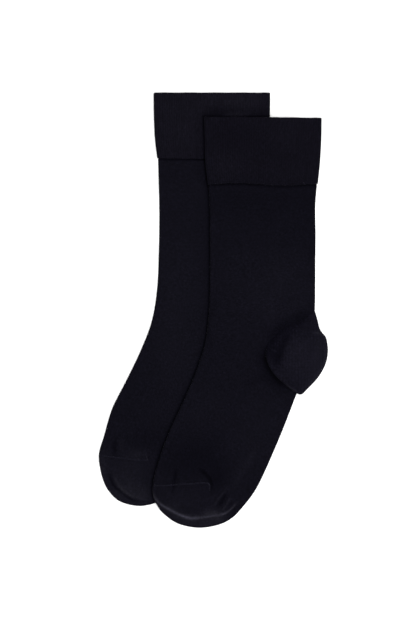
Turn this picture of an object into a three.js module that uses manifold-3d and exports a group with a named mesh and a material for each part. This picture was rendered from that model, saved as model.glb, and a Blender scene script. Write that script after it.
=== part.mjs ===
// A pair of plain fine-knit crew socks, laid flat in profile, the upper sock lying half on the lower one.
//
// Millimetres, +Z up. The pair lies on the plane z = 0 with the cuffs towards +Y and the heels towards +X,
// and the origin is the middle of its footprint. Each sock is a flattened tube with two walls of knit:
// a doubled, ribbed cuff, a leg and foot in one tube that ends in the toe, and a heel pocket whose spare
// cloth is folded over the ankle. The lower sock rests on the plane all over. The upper sock is draped
// over it: each of its points is lifted by the height of what lies under it.

import * as THREE from 'three';
import { mergeVertices } from 'three/addons/utils/BufferGeometryUtils.js';
import Module from 'manifold-3d';

const wasm = await Module();
wasm.setup();
const { clamp, degToRad, lerp, smoothstep } = THREE.MathUtils;

// The knit
const KNIT_WALL = 1.0; // one wall of the leg and foot
const CUFF_WALL = 1.6; // one wall of the cuff, knitted double
const HOLLOW = 0.6; // space between the two walls
const CLEAR = 0.3; // gap at a seam, and between pieces that lie on each other
const TUBE_THICKNESS = 2 * KNIT_WALL + HOLLOW;
const CUFF_THICKNESS = 2 * CUFF_WALL + HOLLOW;
const CROWN_REACH = 26; // distance from a side fold at which the tube is at its fullest

// The cuff
const RIBS_ACROSS = 50; // ribs on one face
const RIB_RISE = 0.25;
const CUFF_EDGE_ROUND = 0.5; // how far its two ends are rounded over
const CUFF_STEP = 0.6; // how far it stands out past the leg at each side fold

// The toe, where the upper wall's fold lies inside the lower wall's
const TOE_RIM_THICKNESS = 1.5;
const TOE_STEP = 1.8; // width of the step from the rim up to the upper wall
const HOLLOW_PAST_TOE_SEAM = 0.5; // where the space between the walls ends, in rows of the sock's table

// How cloth lies on what is under it
const OVERHANG = 1.5; // how far it runs on level past an edge
const BRIDGE = 11; // and how far it then takes to come down
const PRESS_SHARPNESS = 7; // how closely it follows the corner between two heights

// The lower sock is pressed flat by the upper one, so it is less full.
const LOWER = {
  name: 'lower_sock',
  crown: 0.4,
  // Sections of the cuff, from the mouth down: where each meets the left and the right side fold.
  cuff: [
    { at: 'mouth', left: [-47.6, 173.8], right: [45.4, 173.8] },
    { at: 'upper third', left: [-47.4, 155.3], right: [45.2, 155.3] },
    { at: 'lower third', left: [-46.5, 136.1], right: [45.0, 137.7] },
    { at: 'lower edge', left: [-44.7, 121.2], right: [42.8, 120.5] },
  ],
  // Sections of the leg and foot, from below the cuff to the toe. steps is how many strips of faces
  // the stretch to the next section is cut into.
  tube: [
    { at: 'top of the leg', left: [-43.7, 104.1], right: [41.1, 104.1], steps: 2 },
    { at: 'upper leg', left: [-43.1, 76.1], right: [41.3, 80.1], steps: 2 },
    { at: 'lower leg', left: [-43.5, 48.1], right: [41.1, 58.5], steps: 2 },
    { at: 'above the ankle', left: [-45.0, 16.1], right: [40.8, 37.7], steps: 2 },
    { at: 'ankle', left: [-49.4, -9.5], right: [40.2, 17.7], steps: 2 },
    { at: 'heel, top', left: [-58.6, -33.5], right: [37.4, -4.7], steps: 2 },
    { at: 'heel, middle', left: [-69.6, -56.3], right: [31.4, -27.9], steps: 2 },
    { at: 'heel, bottom', left: [-80.8, -78.7], right: [21.8, -51.1], steps: 2 },
    { at: 'arch', left: [-87.5, -101.1], right: [7.4, -84.7], steps: 2 },
    { at: 'toe seam', left: [-91.4, -115.1], right: [-7.4, -123.9], steps: 2 },
    { at: 'toe, quarter', left: [-90.7, -125.1], right: [-14.2, -133.5], steps: 2 },
    { at: 'toe, half', left: [-87.8, -136.3], right: [-24.2, -142.2], steps: 2 },
    { at: 'toe, three quarters', left: [-84.2, -143.5], right: [-32.2, -147.9], steps: 2 },
    { at: 'toe, end', left: [-75.4, -152.3], right: [-42.6, -152.8], steps: 3 },
  ],
  toeTip: [-58.6, -156.4],
  // How far the lower wall's fold shows past the upper wall's, by its place round the tube's outline.
  toeRim: [
    { share: 0.345, width: 0 },
    { share: 0.385, width: 5.5 },
    { share: 0.435, width: 6.0 },
    { share: 0.47, width: 5.6 },
    { share: 0.5, width: 3.6 },
    { share: 0.57, width: 0 },
  ],
  heel: { rise: 2.3, press: 0.75, by: [-40.4, 20.2], turned: -3, about: [40.4, 17.7] },
  columns: 8,
  cuffStepsPerRow: 1,
};

const UPPER = {
  name: 'upper_sock',
  crown: 0.8,
  cuff: [
    { at: 'mouth', left: [-7.5, 154.3], right: [86.5, 153.7] },
    { at: 'upper third', left: [-6.9, 136.1], right: [86.2, 136.1] },
    { at: 'lower third', left: [-6.4, 118.5], right: [85.2, 118.5] },
    { at: 'lower edge', left: [-4.4, 100.9], right: [83.4, 100.5] },
  ],
  tube: [
    { at: 'top of the leg', left: [-2.9, 84.1], right: [81.5, 84.1], steps: 2 },
    { at: 'upper leg', left: [-2.7, 60.1], right: [81.7, 60.1], steps: 2 },
    { at: 'lower leg', left: [-2.6, 32.1], right: [81.5, 38.5], steps: 3 },
    { at: 'above the ankle', left: [-3.2, 3.3], right: [81.4, 17.7], steps: 5 },
    { at: 'ankle', left: [-5.8, -22.3], right: [81.0, -1.5], steps: 5 },
    { at: 'heel, top', left: [-13.4, -47.9], right: [79.0, -23.9], steps: 5 },
    { at: 'heel, middle', left: [-23.6, -71.9], right: [74.2, -46.3], steps: 4 },
    { at: 'heel, bottom', left: [-34.7, -95.9], right: [65.5, -69.5], steps: 3 },
    { at: 'arch', left: [-43.0, -118.3], right: [53.0, -101.5], steps: 4 },
    { at: 'toe seam', left: [-48.3, -139.1], right: [36.2, -139.1], steps: 2 },
    { at: 'toe, quarter', left: [-47.9, -148.7], right: [30.3, -148.7], steps: 2 },
    { at: 'toe, half', left: [-43.0, -158.7], right: [22.2, -158.7], steps: 2 },
    { at: 'toe, three quarters', left: [-36.7, -165.1], right: [16.1, -165.1], steps: 2 },
    { at: 'toe, end', left: [-27.8, -170.6], right: [6.6, -170.6], steps: 3 },
  ],
  toeTip: [-11.0, -173.8],
  toeRim: [
    { share: 0.375, width: 0 },
    { share: 0.42, width: 4.8 },
    { share: 0.5, width: 7.1 },
    { share: 0.55, width: 7.4 },
    { share: 0.585, width: 5.6 },
    { share: 0.635, width: 0 },
  ],
  heel: { rise: 6.6, press: 1, by: [0, 0], turned: 0, about: [0, 0] },
  columns: 13,
  cuffStepsPerRow: 2,
};

// The heel pocket's outline where it lies on the upper sock, clockwise from the back of the leg. fold is
// the thickness at its edge: two layers of cloth at the free fold, and one where it leaves the leg.
const HEEL_POCKET = [
  { at: 'back of the leg', point: [80.2, 0.0], fold: 1.4 },
  { at: 'back of the leg', point: [82.9, -6.5], fold: 2.0 },
  { at: 'shoulder', point: [84.9, -14.5], fold: 2.4 },
  { at: 'shoulder', point: [87.2, -18.2], fold: 2.6 },
  { at: 'shoulder', point: [89.8, -21.3], fold: 2.6 },
  { at: 'back of the heel', point: [91.3, -27.5], fold: 2.6 },
  { at: 'back of the heel', point: [91.5, -34.5], fold: 2.6 },
  { at: 'back of the heel', point: [89.5, -43.5], fold: 2.6 },
  { at: 'under the heel', point: [84.0, -53.3], fold: 2.6 },
  { at: 'under the heel', point: [75.6, -62.4], fold: 2.4 },
  { at: 'corner', point: [70.2, -67.2], fold: 2.2 },
  { at: 'corner', point: [67.2, -66.6], fold: 2.2 },
  { at: 'free fold', point: [57.8, -59.8], fold: 2.2 },
  { at: 'free fold', point: [47.9, -50.2], fold: 2.2 },
  { at: 'free fold', point: [43.1, -41.3], fold: 2.0 },
  { at: 'free fold', point: [41.9, -33.2], fold: 1.6 },
  { at: 'gore point', point: [43.2, -28.5], fold: 1.2 },
  { at: 'gore', point: [48.8, -19.8], fold: 1.0 },
  { at: 'gore', point: [56.6, -12.9], fold: 1.0 },
  { at: 'gore', point: [67.5, -8.2], fold: 1.0 },
  { at: 'gore', point: [75.4, -4.2], fold: 1.2 },
];
const POCKET_CENTRE = [68, -36];
const POCKET_SLACK = 0.65; // how loosely the pocket lies on its own tube
const DOME_POWER = 2.6; // how long the pocket's dome stays full before it falls to its edge

// How finely the curves are cut into flat faces
const OUTLINE_STEPS_PER_POINT = 8;
const OUTLINE_LEAD = 20; // an open outline runs straight on by this much past its ends
const FOLD_SHOULDER = 0.25; // an extra column in each side fold, as a part of the fold's radius
const RIB_COLUMNS = 2; // columns to a rib, on the face that has ribs
const PLAIN_EVERY = 4; // on the plain face, one column for so many of those
const CUFF_HOLLOW_COLUMNS = 20;
const POCKET_POINTS = 42;
const POCKET_RINGS = [0.3, 0.52, 0.7, 0.84, 0.93, 0.98, 1];

const toVector = ([x, y]) => new THREE.Vector3(x, y, 0);
const evenly = (count) => Array.from({ length: count + 1 }, (_, i) => i / count);

function smoothCurve(points, closed) {
  return new THREE.CatmullRomCurve3(points.map(toVector), closed, 'centripetal');
}

// Height of a quarter circle of the given radius at a depth in from its edge.
function roundOver(depth, radius) {
  const inside = clamp(depth, 0, radius);
  return Math.sqrt(inside * (2 * radius - inside));
}

// A table's column at a share of the way round, eased from each row to the next.
function easedColumn(rows, share, column) {
  const next = rows.findIndex((row) => row.share > share);
  if (next === 0) return rows[0][column];
  if (next < 0) return rows.at(-1)[column];
  const [before, after] = [rows[next - 1], rows[next]];
  return lerp(before[column], after[column], smoothstep(share, before.share, after.share));
}

// A smooth outline in plan. nearest() gives the depth in from the edge, less than 0 outside it, and the
// share of the way round of the nearest point. An open outline runs on past its ends, so that only its
// sides count as edges.
class Outline {
  constructor(points, closed) {
    this.curve = smoothCurve(points, closed);
    this.edge = this.curve.getPoints(OUTLINE_STEPS_PER_POINT * points.length);
    this.steps = this.edge.length - 1;
    this.leads = closed ? 0 : 1;
    if (closed) return;
    const runOn = (end, next) => end.clone().sub(next).setLength(OUTLINE_LEAD).add(end);
    this.edge.unshift(runOn(this.edge[0], this.edge[1]));
    this.edge.push(runOn(this.edge.at(-1), this.edge.at(-2)));
  }

  nearest(x, y) {
    let distance = Infinity;
    let share = 0;
    let inside = false;
    this.edge.forEach((a, i) => {
      const b = this.edge[(i + 1) % this.edge.length];
      const dx = b.x - a.x;
      const dy = b.y - a.y;
      if (a.y > y !== b.y > y && x < a.x + ((y - a.y) * dx) / dy) inside = !inside;
      if (i === this.edge.length - 1) return;
      const along = clamp(((x - a.x) * dx + (y - a.y) * dy) / (dx * dx + dy * dy), 0, 1);
      const away = Math.hypot(x - a.x - along * dx, y - a.y - along * dy);
      if (away >= distance) return;
      distance = away;
      share = (i + along - this.leads) / this.steps;
    });
    return { depth: inside ? distance : -distance, share };
  }

  depth(x, y) {
    return this.nearest(x, y).depth;
  }
}

// The tube's sections, with the one that meets the cuff worked out from the cuff's lower edge.
function tubeRows(sock) {
  const { left, right } = sock.cuff.at(-1);
  const underCuff = {
    at: 'under the cuff',
    steps: 1,
    left: [left[0] + CUFF_STEP, left[1] - CLEAR],
    right: [right[0] - CUFF_STEP, right[1] - CLEAR],
  };
  return [underCuff, ...sock.tube];
}

// The tube's left side fold, its toe and its right side fold, in one open outline.
function tubeOutline(sock) {
  const rows = tubeRows(sock);
  const left = rows.map((row) => row.left);
  const right = rows.map((row) => row.right).toReversed();
  return new Outline([...left, sock.toeTip, ...right], false);
}

function cuffOutline(sock) {
  const left = sock.cuff.map((row) => row.left);
  const right = sock.cuff.map((row) => row.right).toReversed();
  return new Outline([...left, ...right], true);
}

// The depth in from the nearer of the cuff's two side folds.
function cuffSides(sock) {
  const sides = ['left', 'right'].map((side) => new Outline(sock.cuff.map((row) => row[side]), false));
  return (x, y) => Math.min(...sides.map((side) => Math.abs(side.depth(x, y))));
}

// A point of the heel pocket's table, moved to where the sock's own pocket lies.
function onHeel(sock, [x, y]) {
  const { by, turned, about } = sock.heel;
  const point = new THREE.Vector2(x + by[0], y + by[1]);
  return point.rotateAround(new THREE.Vector2(...about), degToRad(turned)).toArray();
}

const pocketOutline = (sock) => new Outline(HEEL_POCKET.map((row) => onHeel(sock, row.point)), true);

// A footing is an outline and the height of the cloth inside it. Cloth laid on footings keeps to the
// highest one, runs on level past its edge, and comes down to the plane within a bridge's length.
function drapedOver(footings) {
  return (x, y) => {
    const lifts = footings.map(({ outline, height }) =>
      height * smoothstep(outline.depth(x, y), -OVERHANG - BRIDGE, -OVERHANG));
    return lifts.reduce((sum, lift) => sum + lift ** PRESS_SHARPNESS, 0) ** (1 / PRESS_SHARPNESS);
  };
}

// The section at row number s of a table, as its two ends in plan, moved in from the side folds.
// The side folds are smooth curves through the rows, which meet at the tip where there is one.
function sectionsOf(rows, tip) {
  const left = rows.map((row) => row.left);
  const right = rows.map((row) => row.right);
  const round = tip ? smoothCurve([...left, tip, ...right.toReversed()], false) : null;
  const leftFold = round ?? smoothCurve(left, false);
  const rightFold = round ?? smoothCurve(right, false);
  const spans = round ? 2 * rows.length : rows.length - 1;
  const movedIn = (curve, place, inset) => {
    const along = curve.getTangent(place);
    return curve.getPoint(place).add(new THREE.Vector3(-along.y, along.x, 0).multiplyScalar(inset));
  };
  return (s, inset) => ({
    left: movedIn(leftFold, s / spans, inset),
    right: round ? movedIn(round, 1 - s / spans, inset) : movedIn(rightFold, s / spans, -inset),
  });
}

// A grid of points in plan, a row for each section and a column for each share of the way across.
const planOf = (sectionAt, places, columnsFor, inset = 0) => places.map((s) => {
  const { left, right } = sectionAt(s, inset);
  return columnsFor(left.distanceTo(right)).map((t) => left.clone().lerp(right, t));
});

// Columns across a tube: close together in its side folds and even between them.
function tubeColumns(width, count, radius) {
  const fold = Math.min(radius / width, 1 / count);
  const between = evenly(count).map((t) => lerp(fold, 1 - fold, t));
  const shoulder = FOLD_SHOULDER * fold;
  return { outer: [0, shoulder, ...between, 1 - shoulder, 1], inner: [0, ...between, 1] };
}

// A closed solid between an upper and a lower surface over one grid in plan, of which the lower surface
// may take only every so many columns. The surfaces meet at the side folds, or a wall joins them there,
// as it does at the first and the last row.
function slab(plan, upper, lower, every = 1) {
  const last = { row: plan.length - 1, over: plan[0].length - 1, under: (plan[0].length - 1) / every };
  const positions = [];
  plan.forEach((row, i) => row.forEach(({ x, y }, j) => positions.push(x, y, upper(x, y, i, j))));
  const sparse = plan.map((row) => row.filter((_, j) => j % every === 0));
  sparse.flat().forEach(({ x, y }) => positions.push(x, y, lower(x, y)));

  const over = (i, j) => i * (last.over + 1) + j;
  const under = (i, k) => (last.row + 1) * (last.over + 1) + i * (last.under + 1) + k;
  const faces = [];
  const quad = (a, b, c, d) => faces.push(a, b, c, a, c, d);
  for (let i = 0; i < last.row; i++) {
    for (let j = 0; j < last.over; j++) {
      quad(over(i, j), over(i + 1, j), over(i + 1, j + 1), over(i, j + 1));
    }
    for (let k = 0; k < last.under; k++) {
      quad(under(i, k), under(i, k + 1), under(i + 1, k + 1), under(i + 1, k));
    }
    quad(over(i, 0), under(i, 0), under(i + 1, 0), over(i + 1, 0));
    quad(over(i, last.over), over(i + 1, last.over), under(i + 1, last.under), under(i, last.under));
  }
  // Each wall at an end: fans of faces from the lower row's points to the upper row's.
  for (const i of [0, last.row]) {
    const face = (a, b, c) => faces.push(...(i ? [a, c, b] : [a, b, c]));
    for (let k = 0; k < last.under; k++) {
      const middle = k * every + Math.floor(every / 2);
      for (let j = k * every; j < (k + 1) * every; j++) {
        face(over(i, j), over(i, j + 1), under(i, j < middle ? k : k + 1));
      }
      face(over(i, middle), under(i, k + 1), under(i, k));
    }
  }
  return solidFrom(positions, faces);
}

// A solid from a list of faces, once the points that coincide, as along a fold, are made one and the
// faces that this closes up are dropped.
function solidFrom(positions, faces) {
  const loose = new THREE.BufferGeometry();
  loose.setAttribute('position', new THREE.Float32BufferAttribute(positions, 3));
  loose.setIndex(faces);
  const merged = mergeVertices(loose, 1e-4);
  const index = merged.index.array;
  const triVerts = [];
  for (let i = 0; i < index.length; i += 3) {
    const [a, b, c] = index.slice(i, i + 3);
    if (a !== b && b !== c && c !== a) triVerts.push(a, b, c);
  }
  return new wasm.Manifold(new wasm.Mesh({
    numProp: 3,
    vertProperties: new Float32Array(merged.attributes.position.array),
    triVerts: new Uint32Array(triVerts),
  }));
}

function geometryOf(solid) {
  const { vertProperties, triVerts } = solid.getMesh();
  const geometry = new THREE.BufferGeometry();
  geometry.setAttribute('position', new THREE.Float32BufferAttribute(vertProperties, 3));
  geometry.setIndex(Array.from(triVerts));
  geometry.computeVertexNormals();
  return geometry;
}

const moveRow = (row, dy) => row.map((point) => point.clone().setY(point.y + dy));

// The leg and foot: one flattened tube, open at the cuff and closed round the toe.
function legAndFoot(sock, base) {
  const rows = tubeRows(sock);
  const sectionAt = sectionsOf(rows, sock.toeTip);
  const outline = tubeOutline(sock);
  const columnsFor = (side) => (width) => tubeColumns(width, sock.columns, TUBE_THICKNESS / 2)[side];
  const crown = (depth) => sock.crown * smoothstep(depth, 0, CROWN_REACH);

  // Half the thickness: less on the rim of the toe, where the lower wall's fold lies alone.
  const radiusAt = ({ depth, share }) => {
    const rim = easedColumn(sock.toeRim, share, 'width');
    const past = smoothstep(depth, rim - TOE_STEP / 2, rim + TOE_STEP / 2);
    const onRim = smoothstep(rim, 0, TOE_STEP) * (1 - past);
    return lerp(TUBE_THICKNESS, TOE_RIM_THICKNESS, onRim) / 2;
  };
  const upper = (x, y) => {
    const place = outline.nearest(x, y);
    const radius = radiusAt(place);
    return base(x, y) + radius + roundOver(place.depth, radius) + crown(place.depth);
  };
  const lower = (x, y) => {
    const place = outline.nearest(x, y);
    const radius = radiusAt(place);
    return base(x, y) + radius - roundOver(place.depth, radius);
  };
  const places = rows.flatMap(({ steps }, i) => evenly(steps).slice(0, -1).map((t) => i + t));
  const toTip = [...places, rows.length];
  const whole = slab(planOf(sectionAt, toTip, columnsFor('outer')), upper, lower);

  const end = rows.findIndex((row) => row.at === 'toe seam') + HOLLOW_PAST_TOE_SEAM;
  const plan = planOf(sectionAt, places.filter((s) => s <= end), columnsFor('inner'), KNIT_WALL);
  const halfGap = (depth) => roundOver(depth - KNIT_WALL, HOLLOW / 2);
  const ceiling = (x, y) => {
    const depth = outline.depth(x, y);
    return base(x, y) + TUBE_THICKNESS / 2 + halfGap(depth) + crown(depth);
  };
  const floor = (x, y) => base(x, y) + TUBE_THICKNESS / 2 - halfGap(outline.depth(x, y));
  const hollow = slab([moveRow(plan[0], KNIT_WALL), ...plan], ceiling, floor);
  return geometryOf(whole.subtract(hollow));
}

// The cuff: a band knitted double and ribbed, open at its mouth and where the leg joins it.
function cuff(sock, base) {
  const sectionAt = sectionsOf(sock.cuff);
  const depthAt = cuffSides(sock);
  const last = sock.cuff.length - 1;
  const radius = CUFF_THICKNESS / 2;
  const rounded = CUFF_EDGE_ROUND / (sock.cuff[0].left[1] - sock.cuff[last].left[1]);
  const between = evenly(last * sock.cuffStepsPerRow).map((t) => last * lerp(rounded, 1 - rounded, t));
  const places = [0, ...between, last];
  const crown = (depth) => sock.crown * smoothstep(depth, 0, CROWN_REACH);
  const roundedOff = (i) => (i === 0 || i === places.length - 1 ? CUFF_EDGE_ROUND : 0);
  const rib = (j) => (j % RIB_COLUMNS ? RIB_RISE : 0);
  const upper = (x, y, i, j) => {
    const depth = depthAt(x, y);
    const rise = roundOver(depth, radius) / radius;
    return base(x, y) + radius + rise * (radius + rib(j) - roundedOff(i)) + crown(depth);
  };
  const lower = (x, y) => base(x, y) + radius - roundOver(depthAt(x, y), radius);
  const ribbed = planOf(sectionAt, places, () => evenly(RIB_COLUMNS * RIBS_ACROSS));
  const whole = slab(ribbed, upper, lower, PLAIN_EVERY);

  const plan = planOf(sectionAt, between, () => evenly(CUFF_HOLLOW_COLUMNS), CUFF_WALL);
  const halfGap = (depth) => roundOver(depth - CUFF_WALL, HOLLOW / 2);
  const ceiling = (x, y) => {
    const depth = depthAt(x, y);
    return base(x, y) + radius + halfGap(depth) + crown(depth);
  };
  const floor = (x, y) => base(x, y) + radius - halfGap(depthAt(x, y));
  const through = [moveRow(plan[0], CUFF_WALL), ...plan, moveRow(plan.at(-1), -CUFF_WALL)];
  return geometryOf(whole.subtract(slab(through, ceiling, floor)));
}

// The heel pocket: the tube's spare cloth at the heel, folded over the ankle and still puffed up. It is
// a ring of points round its centre for each share of the way out to its outline, above and below.
function heelPocket(sock, base) {
  const { curve } = pocketOutline(sock);
  const centre = toVector(onHeel(sock, POCKET_CENTRE));
  const round = [...HEEL_POCKET, HEEL_POCKET[0]];
  const folds = round.map(({ fold }, k) => ({ share: k / HEEL_POCKET.length, fold }));
  const rim = evenly(POCKET_POINTS).slice(0, -1).map((share) => ({
    point: curve.getPoint(share),
    fold: sock.heel.press * easedColumn(folds, share, 'fold'),
  }));
  const underCentre = base(centre.x, centre.y);
  const top = underCentre + sock.heel.rise;
  const positions = [centre.x, centre.y, top, centre.x, centre.y, underCentre];
  for (const out of POCKET_RINGS) {
    const ring = rim.map(({ point, fold }) => {
      const spot = centre.clone().lerp(point, out);
      const radius = fold / 2;
      const rounding = radius - roundOver((1 - out) * centre.distanceTo(point), radius);
      const under = base(spot.x, spot.y);
      const above = lerp(top, under + fold, out ** DOME_POWER) - rounding;
      return { spot, above, below: under + rounding };
    });
    ring.forEach(({ spot, above }) => positions.push(spot.x, spot.y, above));
    ring.forEach(({ spot, below }) => positions.push(spot.x, spot.y, below));
  }
  const at = (ring, sheet, k) => 2 + (2 * ring + sheet) * POCKET_POINTS + (k % POCKET_POINTS);
  const faces = [];
  for (let k = 0; k < POCKET_POINTS; k++) {
    faces.push(0, at(0, 0, k + 1), at(0, 0, k));
    faces.push(1, at(0, 1, k), at(0, 1, k + 1));
    for (let ring = 0; ring < POCKET_RINGS.length - 1; ring++) {
      const [a, b, c, d] = [at(ring, 0, k), at(ring, 0, k + 1), at(ring + 1, 0, k + 1), at(ring + 1, 0, k)];
      faces.push(a, b, c, a, c, d);
      const [e, f, g, h] = [at(ring, 1, k), at(ring + 1, 1, k), at(ring + 1, 1, k + 1), at(ring, 1, k + 1)];
      faces.push(e, f, g, e, g, h);
    }
  }
  return geometryOf(solidFrom(positions, faces));
}

// What each sock lies on: the plane, or the lower sock. A heel pocket lies on its own sock's tube.
const tubeTop = (sock) => TUBE_THICKNESS + sock.crown + CLEAR;
const onPlane = () => 0;
const onLowerSock = drapedOver([
  { outline: tubeOutline(LOWER), height: tubeTop(LOWER) },
  { outline: cuffOutline(LOWER), height: CUFF_THICKNESS + LOWER.crown + RIB_RISE + CLEAR },
  { outline: pocketOutline(LOWER), height: tubeTop(LOWER) + POCKET_SLACK + LOWER.heel.rise + CLEAR },
]);

function onOwnTube(sock, base) {
  const tube = drapedOver([{ outline: tubeOutline(sock), height: tubeTop(sock) + POCKET_SLACK }]);
  return (x, y) => base(x, y) + tube(x, y);
}

const COLOURS = { cuff: 0x14131a, leg_and_foot: 0x121118, heel_pocket: 0x15141c };
const ROUGHNESS = 0.93;

const pair = new THREE.Group();
pair.name = 'pair_of_socks';
for (const [sock, base] of [[LOWER, onPlane], [UPPER, onLowerSock]]) {
  const pieces = {
    cuff: cuff(sock, base),
    leg_and_foot: legAndFoot(sock, base),
    heel_pocket: heelPocket(sock, onOwnTube(sock, base)),
  };
  const group = new THREE.Group();
  group.name = sock.name;
  for (const [piece, geometry] of Object.entries(pieces)) {
    const finish = { color: COLOURS[piece], roughness: ROUGHNESS, metalness: 0 };
    const mesh = new THREE.Mesh(geometry, new THREE.MeshStandardMaterial(finish));
    mesh.name = `${sock.name}_${piece}`;
    group.add(mesh);
  }
  pair.add(group);
}

export default pair;
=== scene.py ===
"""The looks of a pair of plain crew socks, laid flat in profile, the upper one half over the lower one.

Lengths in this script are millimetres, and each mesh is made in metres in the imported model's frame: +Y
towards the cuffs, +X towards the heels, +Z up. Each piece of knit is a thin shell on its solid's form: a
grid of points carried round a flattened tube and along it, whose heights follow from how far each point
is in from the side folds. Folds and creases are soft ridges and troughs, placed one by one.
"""

import bmesh
import bpy
import numpy as np
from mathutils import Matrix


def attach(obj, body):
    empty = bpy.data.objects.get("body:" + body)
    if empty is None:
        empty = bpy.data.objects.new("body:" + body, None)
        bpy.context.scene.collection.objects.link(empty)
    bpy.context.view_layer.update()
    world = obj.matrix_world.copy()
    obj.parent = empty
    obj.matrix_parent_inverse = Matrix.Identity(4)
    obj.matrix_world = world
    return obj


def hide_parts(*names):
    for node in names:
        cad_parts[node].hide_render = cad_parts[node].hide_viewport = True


MM = 0.001

# The knit
KNIT_WALL = 1.0  # one wall of the leg and foot
CUFF_WALL = 1.6  # one wall of the cuff, knitted double
HOLLOW = 0.6  # space between the two walls
CLEAR = 0.3  # gap between solids that lie on each other
TUBE_RADIUS = KNIT_WALL + HOLLOW / 2
CUFF_RADIUS = CUFF_WALL + HOLLOW / 2
CROWN_REACH = 26.0  # distance from a side fold at which the tube is at its fullest
WALE = 0.82  # width of a stitch
COURSE = 0.65  # height of a stitch

# The cuff
RIBS_ROUND = 100
RIB_RISE = 0.25
CUFF_STEP = 0.6  # how far it stands out past the leg at each side fold
TUCK = 2.6  # how far the leg runs up inside it
TUCK_INSET = 0.65  # how far the leg is drawn in there at each side
TUCK_RADIUS = 0.75  # and half its thickness there
CUFF_LIP = 0.45  # radius of its lower edge
MOUTH_TUCK = 0.4  # how far the lower layer's mouth stops short of the upper one's
HEM_GROOVE = (0.45, 1.1, -0.95)  # depth, width and tone of the leg's groove along the cuff's lower edge; the tone is painted shade in it
CONTACT_SHADOW = (1.5, -1.1)  # width and tone of the painted shadow beside what lies on a sock

# The toe, where the upper wall's fold lies inside the lower wall's
TOE_RIM_RADIUS = 0.75
TOE_STEP = 1.8  # width of the step from the rim up to the upper wall

# How cloth lies on what is under it
OVERHANG = 1.5  # how far it runs on level past an edge
BRIDGE = 11.0  # and how far it then takes to come down
PRESS_SHARPNESS = 7  # how closely it follows the corner between two heights
SPAN = 30.0  # the bridge of the upper wall, which lies less closely
SPAN_SHARPNESS = 4
SPAN_FROM_FOLD = 9.0  # how far in from a side fold the two walls part
FOOTING_LEAD = 60.0  # how far the leg runs on as a footing, past the other sock's mouth

# Creases, and the wavering edges of the cuff
END_FADE = (-0.1, 0.25)  # share of a crease's length over which it fades at each end
OFF_FOLD = (0.2, 2.5)  # how far in from a side fold creases begin, and reach their height
UNDER_DENT = (0.7, 0.5)  # share of a ridge's height that dents the underside, and the most of it
UNDER_RIB = 0.45  # height of the ribs underneath, as a share of those on top
EDGE_RIB = 0.25  # and at the cuff's mouth and lower edge
EDGE_REACH = 9.0  # how far from its edges the cuff still wavers with them
HEM_WAVER = [(0.12, 0.11, 1.3)]  # waves of its lower edge: height, step a column, start
MOUTH_WAVER = [(0.06, 0.07, 0.0), (0.03, 0.19, 2.0)]  # and of its mouth

# How finely the grids are cut
EDGE_STEPS = 10  # pieces of an outline between two of its points
FOLD_COLUMNS = 7  # columns in a quarter turn of a side fold
TUBE_COLUMNS = 116  # columns between the side folds, above
TUBE_COLUMNS_UNDER = 48  # and below
LEG_ROWS, FOOT_ROWS, TOE_ROWS = 2.0, 1.0, 0.5  # distance between rows
INNER_ROWS = 5.0
RIB_COLUMNS = 8  # columns to a rib
CUFF_FOLD_RIBS = 3  # ribs that go round each side fold of the cuff
CUFF_ROWS = 1.1
RIM_STEPS = 6  # rows round a rolled edge
POCKET_COLUMNS = 240
POCKET_RINGS = 64

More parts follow.
